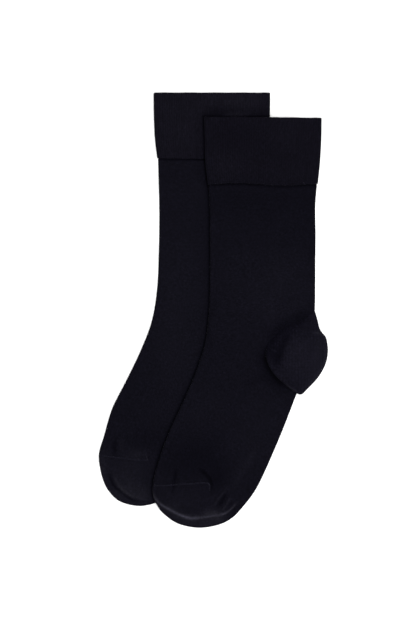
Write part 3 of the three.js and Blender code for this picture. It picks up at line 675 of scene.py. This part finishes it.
def cuff(sock):
    """The cuff: its wall's outline carried round a stadium, two flat runs joined by half circles. Ribs are
    RIB_RISE * (1 + cos(2 pi * rib)) / 2 along the direction outwards, and none inside."""
    ends = sock.cuff_rows
    length = ends[0, :, 1].mean() - ends[-1, :, 1].mean()
    down, reach, out_down, out_reach = cuff_path(length).T
    rows = np.clip(down / length, 0, 1) * (len(ends) - 1)
    left, right = through(ends[:, 0], rows), through(ends[:, 1], rows)
    width = np.linalg.norm(right - left, axis=1)
    along = (right - left) / width[:, None]

    flat_ribs = (RIBS_ROUND - 2 * CUFF_FOLD_RIBS) // 2
    flat = np.arange(flat_ribs * RIB_COLUMNS) / (flat_ribs * RIB_COLUMNS)
    turn = np.arange(CUFF_FOLD_RIBS * RIB_COLUMNS) / (CUFF_FOLD_RIBS * RIB_COLUMNS) * np.pi
    place = np.concatenate([flat, 1 + 0 * turn, 1 - flat, 0 * turn])
    out_x = np.concatenate([0 * flat, np.sin(turn), 0 * flat, -np.sin(turn)])
    out_z = np.concatenate([1 + 0 * flat, np.cos(turn), -1 + 0 * flat, -np.cos(turn)])
    column = np.arange(len(place))

    grooves = (1 + np.cos(2 * np.pi * column / RIB_COLUMNS)) / 2
    pressed = lerp(UNDER_RIB, 1, smoothstep(out_z, -0.4, 0.4))
    outside = np.clip((out_reach + 1) * 1.2, 0, 1)
    at_edges = lerp(1, EDGE_RIB, np.abs(out_down))
    rib = RIB_RISE * grooves * pressed * (outside * at_edges)[:, None]
    from_left = CUFF_RADIUS + place * (width[:, None] - 2 * CUFF_RADIUS)
    offset = reach[:, None] + rib * out_reach[:, None]
    plan = left[:, None] + along[:, None] * (from_left + offset * out_x)[..., None]

    # The hem's own waver, and a slighter one of the mouth
    hem = np.interp(place, *np.array(sock.table["cuff_hem"]).T) + waver(column, HEM_WAVER)
    mouth = waver(column, MOUTH_WAVER) - MOUTH_TUCK * (out_z < 0)
    shift = hem * smoothstep(down, length - EDGE_REACH, length)[:, None]
    shift = shift + mouth * smoothstep(-down, -EDGE_REACH, 0)[:, None]
    x = plan[..., 0]
    y = plan[..., 1] + shift - rib * out_down[:, None]

    side = np.minimum(from_left, width[:, None] - from_left)
    upwards = np.clip(out_z, 0, 1)
    ground = sock.ground(x, y)
    spanned = (sock.spanned(x, y) - ground) * smoothstep(side, 0, SPAN_FROM_FOLD)
    crown = (sock.crown_at(side) + spanned) * upwards
    soft = waves(x, y) * upwards * smoothstep(side, 2, 8)
    inside_soft = lerp(0.6, 1, smoothstep(out_reach, -1, 0))[:, None]
    z = ground + CUFF_RADIUS + offset * out_z + crown + soft * inside_soft
    z = np.where(out_z < 0, np.maximum(z, ground), z)

    _, tone = relief(x, y, [], sock.table["patches"])
    # painted shadow beside what lies on the cuff
    tone = tone + sock.contact_shadow(x, y)
    wall_line = np.stack([down, reach])
    run = np.cumsum(np.hypot(*np.diff(wall_line, axis=1, prepend=wall_line[:, -1:])))
    run = np.append(run, run[-1] + (run[1] - run[0]))
    ribs = np.arange(len(place) + 1) / RIB_COLUMNS
    knit = np.stack(np.meshgrid(ribs, run), axis=-1)
    points = np.stack([x, y, z], axis=-1)
    return knit_mesh(f"{sock.name}_cuff_rib", points, knit, tone, ring=True)


def heel_pocket(sock):
    """The heel pocket: rings round its centre from the top's middle out to the edge and back underneath.

    At its folded edge it is a half circle, at its joined edge it slides into the leg's surface, and towards
    the middle it rises as a dome, 1 - out ** DOME_POWER of its full height.
    """
    heel = sock.table["heel"]
    centre = sock.on_heel([POCKET_CENTRE])[0]
    shares = np.arange(len(HEEL_POCKET) + 1) / len(HEEL_POCKET)
    folds = [row[1] for row in HEEL_POCKET]
    joins = [row[2] for row in HEEL_POCKET]
    share = np.arange(POCKET_COLUMNS) / POCKET_COLUMNS
    rim = through(sock.pocket, share * len(HEEL_POCKET), closed=True)
    fold = heel["press"] * eased(list(zip(shares, folds + folds[:1])), share)
    joined = eased(list(zip(shares, joins + joins[:1])), share)

    turn = np.linspace(0, np.pi / 2, POCKET_RINGS)
    upper = np.sin(turn) ** RING_POWER
    under = upper[-2::-4]
    out = np.concatenate([upper, under])[:, None]
    above = (np.arange(len(out)) < len(upper))[:, None]
    plan = lerp(centre, rim[None], out[..., None])
    x, y = plan[..., 0], plan[..., 1]

    tube_depth, _ = sock.outline.nearest(x, y)
    lift = 2 * TUBE_RADIUS + sock.crown + POCKET_LIFT
    lies_on = lerp(sock.ground(x, y), sock.spanned(x, y), smoothstep(tube_depth, 0, SPAN_FROM_FOLD))
    on_leg = lies_on + lift * smoothstep(tube_depth, -OVERHANG - BRIDGE, -OVERHANG)
    leg_top = lies_on + TUBE_RADIUS + round_over(tube_depth, TUBE_RADIUS) + sock.crown_at(tube_depth)
    floor = lerp(on_leg, np.minimum(leg_top, on_leg), joined * smoothstep(out, 0.3, 1))
    depth = (1 - out) * np.linalg.norm(rim - centre, axis=1)
    floor = floor + sock.creased(x, y, tube_depth)[0] * joined * smoothstep(-depth, -7, 0)
    radius = fold / 2
    rounding = radius - round_over(depth, radius)
    rise = heel["rise"] + CLEAR + POCKET_SLACK
    from_fold = np.clip(np.abs(sock.pocket_fold.nearest(x, y)[0]) / DOME_REACH, 0, 1)
    from_join = np.clip(np.abs(sock.pocket_join.nearest(x, y)[0]) / JOIN_REACH, 0, 1)
    folded = lerp(rise, fold, (1 - from_fold) ** DOME_POWER)
    slope = (np.sin(from_join * np.pi / 2) + smoothstep(from_join, 0, 1)) / 2
    slid = rise * slope - POCKET_SINK * (1 - smoothstep(depth, 0, 2.5))
    sliding = lerp(1, joined, smoothstep(out, 0.6, 1))
    upper_z = floor + lerp(folded, softer_of(folded, slid), sliding) - rounding * (1 - joined)
    under_z = floor + lerp(rounding, -POCKET_SINK - 0.1, joined * smoothstep(out, 0.8, 1))

    heel_x, heel_y = x - heel["by"][0], y - heel["by"][1]
    # painted highlights and shade of the pocket's creases and soft places, and painted shade along its
    # joined edge
    raised, tone = relief(heel_x, heel_y, POCKET_CREASES, POCKET_PATCHES)
    back_x, back_y = POCKET_BACK
    from_back = smoothstep(np.hypot(heel_x - back_x, heel_y - back_y), *POCKET_BACK_REACH)
    # painted shade in the valley along the joined edge, weaker near the back of the leg
    width, darker = POCKET_JOIN_SHADE
    tone = tone + darker * from_back * np.exp(-((from_join * JOIN_REACH / width) ** 2))
    raised = raised * heel["press"] * smoothstep(depth, 0.1, 1.5)
    soft = POCKET_WAVES * waves(x, y) * smoothstep(depth, 0, 6)
    z = np.where(above, upper_z + raised + soft, under_z)
    z = np.where(out > 0.9999, floor + lerp(radius, -POCKET_SINK, joined), z)

    points = np.stack([x, y, z], axis=-1)[:, ::-1]
    tone = np.broadcast_to(tone, x.shape)[:, ::-1]
    knit = np.concatenate([points[..., :2], points[:, :1, :2]], axis=1)
    return knit_mesh(f"{sock.name}_heel_pocket_knit", points, knit, tone)


def knit_mesh(name, points, knit, tone, ring=False):
    """A closed mesh on a grid of points, in millimetres. Its columns run round to meet, and so do the rows
    of a ring. knit gives each corner its place in the knit, and tone how much lighter each point is painted,
    partly as painted light and shade."""
    rows, columns = points.shape[:2]
    index = np.arange(rows * columns).reshape(rows, columns)
    index = np.concatenate([index, index[:, :1]], axis=1)
    if ring:
        index = np.concatenate([index, index[:1]], axis=0)

    def corners(grid):
        return np.stack([grid[:-1, :-1], grid[1:, :-1], grid[1:, 1:], grid[:-1, 1:]], axis=2)

    return finished(name, points, corners(index), tone, corners(knit))


def finished(name, points, faces, tone, knit=None):
    """An object with these points, in millimetres, and faces. Its coinciding points are made one, and its
    faces are smooth."""
    mesh = bpy.data.meshes.new(name)
    mesh.from_pydata((points.reshape(-1, 3) * MM).tolist(), [], faces.reshape(-1, 4).tolist())
    knit_map = mesh.uv_layers.new(name="knit")
    if knit is not None:
        knit_map.uv.foreach_set("vector", knit.astype(np.float32).ravel())
    lighter = mesh.attributes.new("tone", "FLOAT", "POINT")
    lighter.data.foreach_set("value", np.asarray(tone, np.float32).ravel())
    work = bmesh.new()
    work.from_mesh(mesh)
    bmesh.ops.remove_doubles(work, verts=work.verts, dist=1e-7)
    work.to_mesh(mesh)
    work.free()
    mesh.polygons.foreach_set("use_smooth", np.ones(len(mesh.polygons), bool))
    piece = bpy.data.objects.new(name, mesh)
    bpy.context.scene.collection.objects.link(piece)
    return piece


def threads(name, middles, radius, sides=6):
    """Short threads, each a round tube along its own row of points, with its ends drawn to a point."""
    count, steps = middles.shape[:2]
    along = np.gradient(middles, axis=1)
    along /= np.linalg.norm(along, axis=-1, keepdims=True)
    up = np.array([0, 0, 1.0])
    side = np.cross(along, up)
    side /= np.maximum(np.linalg.norm(side, axis=-1, keepdims=True), 1e-6)
    normal = np.cross(side, along)
    taper = np.sqrt(np.clip(1 - np.linspace(-1, 1, steps) ** 4, 0, 1))[None, :, None, None]
    turn = (np.arange(sides) / sides * 2 * np.pi)[None, None, :, None]
    ring = side[:, :, None] * np.cos(turn) + normal[:, :, None] * np.sin(turn)
    points = middles[:, :, None] + radius * taper * ring
    index = np.arange(count * steps * sides).reshape(count, steps, sides)
    index = np.concatenate([index, index[:, :, :1]], axis=2)
    quads = [index[:, :-1, :-1], index[:, :-1, 1:], index[:, 1:, 1:], index[:, 1:, :-1]]
    return finished(name, points, np.stack(quads, axis=3), np.zeros(index[:, :, :-1].size))


# The toe seam's stitches
STITCH_PITCH = 0.82
STITCH_REACH = 0.75  # half a stitch's length over the seam
STITCH_SLANT = 0.45  # and how far it leans along it at each end
STITCH_UNEVEN = (0.15, 2.4)  # how unlike their lengths are, and the turn of that from one to the next
STITCH_ARCH = 0.34  # rise of a stitch's middle above its ends
STITCH_SUNK = 0.05  # how far its ends lie in the knit
STITCH_RADIUS = 0.24
SEAM_ENDS = (0.4, 0.2)  # how far from the seam's two ends the stitches stop


def toe_seam(sock):
    """The linked seam: a short slanting stitch over the join for every stitch of the knit."""
    line = np.array(sock.table["toe_seam"])
    fine = through(line, np.linspace(0, len(line) - 1, 400))
    run = np.concatenate([[0], np.cumsum(np.linalg.norm(np.diff(fine, axis=0), axis=1))])
    at = np.arange(SEAM_ENDS[0], run[-1] - SEAM_ENDS[1], STITCH_PITCH)
    middle, ahead, behind = (
        np.stack([np.interp(at + step, run, fine[:, axis]) for axis in (0, 1)], axis=-1)
        for step in (0, 0.3, -0.3)
    )
    along = (ahead - behind) / np.linalg.norm(ahead - behind, axis=1, keepdims=True)
    over = np.stack([-along[:, 1], along[:, 0]], axis=-1)
    s = np.linspace(-1, 1, 7)[None, :, None]
    unlike, turn = STITCH_UNEVEN
    uneven = 1 + unlike * np.sin(np.arange(len(at)) * turn)[:, None, None]
    plan = middle[:, None] + STITCH_REACH * uneven * s * over[:, None] + STITCH_SLANT * s * along[:, None]
    height = sock.surface(plan[..., 0], plan[..., 1])
    lift = STITCH_ARCH * (1 - s[..., 0] ** 2) - STITCH_SUNK
    middles = np.concatenate([plan, (height + lift)[..., None]], axis=-1)
    return threads(f"{sock.name}_toe_seam", middles, STITCH_RADIUS)


THREAD_RISE = 1.6  # how far above the leg's surface it lies, on the cuff's edge
THREAD_END = [(-1.3, 0.2, 0.1), (-0.6, 0.9, 0.7), (0.3, 0.6, 0.9), (0.6, -0.4, 0.6), (1.3, -0.7, 0.1)]


def thread_end(sock, place, height):
    """The end of the linking thread, a small loop that stands out at the cuff's lower edge."""
    line = through(np.array(THREAD_END) + (*place, height), np.linspace(0, len(THREAD_END) - 1, 17))
    return threads(f"{sock.name}_thread_end", line[None], STITCH_RADIUS)


class Value:
    """A number in a material that is being made. Sums on it add Math nodes."""

    def __init__(self, finish, socket):
        self.finish = finish
        self.socket = socket

    def math(self, operation, *others):
        settings = {"operation": operation}
        return self.finish.node("Math", settings, dict(enumerate([self, *others])))

    def __add__(self, other):
        return self.math("ADD", other)

    __radd__ = __add__

    def __sub__(self, other):
        return self.math("SUBTRACT", other)

    def __rsub__(self, other):
        return self * -1 + other

    def __mul__(self, other):
        return self.math("MULTIPLY", other)

    __rmul__ = __mul__

    def __truediv__(self, other):
        return self.math("DIVIDE", other)

    def __abs__(self):
        return self.math("ABSOLUTE")

    def fraction(self):
        return self.math("FRACT")

    def cosine(self):
        return self.math("COSINE")

    def power(self, exponent):
        return self.math("POWER", exponent)


class Finish:
    """A material that is being made, node by node."""

    def __init__(self, name):
        self.material = bpy.data.materials.new(name)
        self.material.use_nodes = True
        self.tree = self.material.node_tree
        self.tree.nodes.clear()

    def node(self, kind, settings=None, inputs=None, output=0):
        """Adds a node, makes its settings, sets or links its inputs, and gives one of its outputs."""
        node = self.tree.nodes.new("ShaderNode" + kind)
        for setting, value in (settings or {}).items():
            setattr(node, setting, value)
        for socket, value in (inputs or {}).items():
            if isinstance(value, Value):
                self.tree.links.new(value.socket, node.inputs[socket])
            else:
                node.inputs[socket].default_value = value
        return Value(self, node.outputs[output]) if node.outputs else None


def stitches(finish, wale, course):
    """Height of plain knit, from 0 to 1, where wale and course count its stitches across and along.

    Each stitch is a V of two legs: (1 - (4 |a| - 1) ** 2) across a leg, a being the place across the stitch
    from -0.5 to 0.5, times 0.45 + 0.55 (1 + cos(2 pi (course + 1.1 |a|))) / 2 along it.
    """
    a = abs(wale.fraction() - 0.5)
    leg = 1 - (4 * a - 1).power(2)
    strand = ((course + 1.1 * a) * (2 * np.pi)).cosine() * 0.275 + 0.725
    return leg * strand


def knit_finish(name, wale=WALE, relief_depth=0.16, ridges=0.0):
    """Matt cotton knit whose colour carries the tone attribute, partly painted light and shade: greyer where
    the tone is lighter and bluer where it is darker, with painted shade between the stitches' legs. wale is
    the width of a stitch on the piece's own knit map, and ridges is how much lighter and darker every third
    wale is painted, as painted light and shade of ridges that the relief does not have."""
    colour = CLOTH[name]
    finish = Finish(name)
    place = finish.node("UVMap", {"uv_map": "knit"}, output="UV")
    split = finish.node("SeparateXYZ", inputs={0: place})
    across_knit = split
    along_knit = Value(finish, split.socket.node.outputs[1])
    stitch = stitches(finish, across_knit / wale, along_knit / COURSE)
    object_place = finish.node("TexCoord", output="Object")

    def noise(per_metre, detail):
        inputs = {"Vector": object_place, "Scale": per_metre, "Detail": detail, "Roughness": 0.6}
        return finish.node("TexNoise", {"noise_dimensions": "3D"}, inputs)

    cloudy, mottled, speckled, fibres = (noise(*row) - 0.5 for row in (CLOUDS, MOTTLE, SPECKLE, FIBRES))
    course_streak = (along_knit * (2 * np.pi / (STREAK_COURSES * COURSE))).cosine()
    tone = finish.node("Attribute", {"attribute_name": "tone"}, output="Fac")
    # stripes along every third wale: painted light and shade of ridges that the relief does not have
    ridge = (across_knit * (2 * np.pi / (3 * WALE))).cosine() * ridges
    uneven = CLOUD_TONE * cloudy + MOTTLE_TONE * mottled + SPECKLE_TONE * speckled
    # the stitches' part is painted shade between their legs
    uneven = uneven + STREAK_TONE * course_streak + STITCH_SHADE * (stitch - STITCH_MEAN) + ridge
    # scaled by the tone's painted light and shade, the painted shade between stitches and the ridge stripes,
    # and the knit's own mottle, speckle and streaks
    lightness = (tone + uneven).math("EXPONENT")
    greyer = tuple(lerp(np.array(colour), np.mean(colour), GREYER))
    # greyer in painted highlights and bluer in painted shade
    tinted_by_tone = finish.node("Mix", {"data_type": "VECTOR", "clamp_factor": False},
                         {"Factor": tone.math("MAXIMUM", -0.7).math("MINIMUM", 1.0), 4: colour, 5: greyer},
                         output=1)
    shaded_and_mottled = finish.node("VectorMath", {"operation": "SCALE"}, {0: tinted_by_tone, "Scale": lightness})
    bumped = stitch + FIBRE_BUMP * fibres + MOTTLE_BUMP * mottled
    normal = finish.node("Bump", None, {"Strength": 0.6, "Distance": relief_depth * MM, "Height": bumped})
    surface = finish.node("BsdfPrincipled", None, {
        "Base Color": shaded_and_mottled,
        "Roughness": 0.86 + 0.1 * (1 - stitch),
        "Specular IOR Level": 0.025,
        "Sheen Weight": SHEEN,
        "Sheen Roughness": 0.25,
        "Sheen Tint": (0.86, 0.84, 1.0, 1.0),
        "Normal": normal,
    })
    finish.node("OutputMaterial", None, {"Surface": surface})
    return finish.material


# Noises in the knit: how many waves a metre, and their detail.
CLOUDS, MOTTLE, SPECKLE, FIBRES = (70.0, 3.0), (620.0, 2.0), (1250.0, 1.0), (5200.0, 2.0)
# How much lighter each part makes it, as a tone; the stitches' part is painted shade in the hollows between
# their legs.
CLOUD_TONE, MOTTLE_TONE, SPECKLE_TONE, STREAK_TONE, STITCH_SHADE = 0.30, 1.3, 1.1, 0.03, 0.28
STITCH_MEAN = 0.6  # mean height of the stitches' relief, which runs from 0 to 1
STREAK_COURSES = 3.1  # courses from one faint streak to the next
FIBRE_BUMP, MOTTLE_BUMP = 0.35, 0.5  # height of the fibres and the mottle beside the stitches'
GREYER = 0.45  # how much greyer the knit is painted where its tone is 1, as white sheen greys a painted highlight; it is bluer below 0
SHEEN = 0.035
CLOTH = {
    "ribbed_cuff_knit": (0.0026, 0.0023, 0.0044),
    "plain_knit": (0.0024, 0.0022, 0.0043),
    "heel_knit": (0.0032, 0.0029, 0.0056),
    # the seam's thread is the knit's colour made lighter: a painted highlight along the toe seam and on the
    # thread end
    "seam_thread": (0.0066, 0.0062, 0.0112),
}


def dress(piece, material, node=None):
    """Gives a piece its material and its slot, and lets it ride on the pair's one body."""
    piece.data.materials.append(material)
    if node:
        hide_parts(node)
    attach(piece, "root")


def draped_over(footings, bridge, sharpness):
    """Height of cloth laid on footings, pairs of an outline and a height: it keeps to the highest, runs on
    level past its edge, and comes down within a bridge's length."""
    def height(x, y):
        total = np.zeros(np.shape(x))
        for outline, lift in footings:
            depth, _ = outline.nearest(x, y)
            total += (lift * smoothstep(depth, -OVERHANG - bridge, -OVERHANG)) ** sharpness
        return total ** (1 / sharpness)
    return height


def laid_sheet(piece, flat, area, rests_on, with_pieces=()):
    """Takes a piece of cloth, which is not used, and its flat size and area in millimetres, and does nothing
    with them.
    """
    width, length = flat
    width * MM
    length * MM
    area * MM**2


FLOOR_REACH, FLOOR_BELOW = 8.0, 1e-4  # metres from the middle, and below the socks


def pale_floor():
    finish = Finish("pale_floor")
    surface = finish.node("BsdfPrincipled", None, {
        "Base Color": (0.90, 0.90, 0.90, 1.0),
        "Roughness": 0.9,
        "Specular IOR Level": 0.2,
    })
    finish.node("OutputMaterial", None, {"Surface": surface})
    mesh = bpy.data.meshes.new("pale_floor")
    ways = [(-1, -1), (1, -1), (1, 1), (-1, 1)]
    corners = [(x * FLOOR_REACH, y * FLOOR_REACH, -FLOOR_BELOW) for x, y in ways]
    mesh.from_pydata(corners, [], [(0, 1, 2, 3)])
    mesh.materials.append(finish.material)
    floor = bpy.data.objects.new("pale_floor", mesh)
    bpy.context.scene.collection.objects.link(floor)
    return floor


# Round lights that face the middle of the frame: name, place, width and power.
LIGHTS = [
    ("overhead", (0.25, 0.1, 1.7), 1.2, 27),
    ("front", (0.15, -1.45, 0.95), 0.8, 15),
    ("back", (-0.1, 1.45, 0.8), 0.8, 9),
    ("right", (1.3, -0.3, 0.6), 0.6, 7),
]


def soft_light(name, place, size, power):
    data = bpy.data.lights.new(name, "AREA")
    data.shape = "DISK"
    data.size = size
    data.energy = power
    light = bpy.data.objects.new(name, data)
    bpy.context.scene.collection.objects.link(light)
    light.location = place
    way = -np.array(place)
    flat = np.hypot(way[0], way[1])
    light.rotation_euler = (np.arctan2(flat, -way[2]), 0, np.arctan2(way[1], way[0]) - np.pi / 2)


def studio():
    world = bpy.data.worlds.new("studio")
    bpy.context.scene.world = world
    world.use_nodes = True
    background = world.node_tree.nodes["Background"]
    background.inputs["Color"].default_value = (1, 1, 1, 1)
    background.inputs["Strength"].default_value = 0.5
    for light in LIGHTS:
        soft_light(*light)
    bpy.context.scene.view_settings.view_transform = "Standard"


VIEW_HEIGHT = 503.4  # what the photo's frame takes in along Y, at 0.8 mm a pixel
VIEW_CENTRE = (-2.64, -3.80)
LENS, SENSOR = 300.0, 36.0


def camera():
    data = bpy.data.cameras.new("camera")
    data.lens = LENS
    data.sensor_width = SENSOR
    viewer = bpy.data.objects.new("camera", data)
    bpy.context.scene.collection.objects.link(viewer)
    viewer.location = (VIEW_CENTRE[0] * MM, VIEW_CENTRE[1] * MM, VIEW_HEIGHT * LENS / SENSOR * MM)
    bpy.context.scene.camera = viewer


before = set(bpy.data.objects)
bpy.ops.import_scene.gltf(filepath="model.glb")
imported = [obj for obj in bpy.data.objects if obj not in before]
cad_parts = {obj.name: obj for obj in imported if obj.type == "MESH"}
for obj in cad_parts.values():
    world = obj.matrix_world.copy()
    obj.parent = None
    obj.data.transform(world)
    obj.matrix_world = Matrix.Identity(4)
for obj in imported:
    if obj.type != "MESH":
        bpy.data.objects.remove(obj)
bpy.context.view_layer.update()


def on_plane(x, y):
    return np.zeros(np.shape(x))


lower = Sock(LOWER, on_plane, on_plane)
lower_top = 2 * TUBE_RADIUS + lower.crown + CLEAR
footings = [
    (Line(lower.round, lead=FOOTING_LEAD), lower_top),
    (lower.cuff_outline, 2 * CUFF_RADIUS + lower.crown + RIB_RISE + CLEAR),
    (lower.pocket_outline, lower_top + POCKET_SLACK + LOWER["heel"]["rise"]),
]
on_lower = draped_over(footings, BRIDGE, PRESS_SHARPNESS)
over_lower = draped_over(footings, SPAN, SPAN_SHARPNESS)
upper = Sock(UPPER, on_lower, over_lower)
# the lower sock is painted with shadow beside these outlines of the upper sock
lower.covered_by = [upper.outline, upper.cuff_outline]

rib = knit_finish("ribbed_cuff_knit", wale=1.0)
plain = knit_finish("plain_knit")
heel = knit_finish("heel_knit", ridges=0.09)
thread = knit_finish("seam_thread", relief_depth=0.05)

beneath = [pale_floor()]
for sock in (lower, upper):
    name = sock.name
    cut = sock.table["cut"]
    cuff_piece = cuff(sock)
    dress(cuff_piece, rib, f"{name}_cuff")
    tube_piece = leg_and_foot(sock)
    dress(tube_piece, plain, f"{name}_leg_and_foot")
    pocket_piece = heel_pocket(sock)
    dress(pocket_piece, heel, f"{name}_heel_pocket")
    seam_piece = toe_seam(sock)
    dress(seam_piece, thread)
    cuff_sewing = []
    if "thread_end" in sock.table:
        place = sock.table["thread_end"]
        cuff_sewing = [thread_end(sock, place, float(sock.surface(*place)) + THREAD_RISE)]
        dress(cuff_sewing[0], thread)
    laid_sheet(cuff_piece, *cut["cuff"], beneath, cuff_sewing)
    laid_sheet(tube_piece, *cut["leg_and_foot"], beneath, [seam_piece])
    laid_sheet(pocket_piece, *cut["heel_pocket"], [tube_piece])
    beneath = [cuff_piece, tube_piece, pocket_piece]

studio()
camera()

bpy.context.view_layer.update()
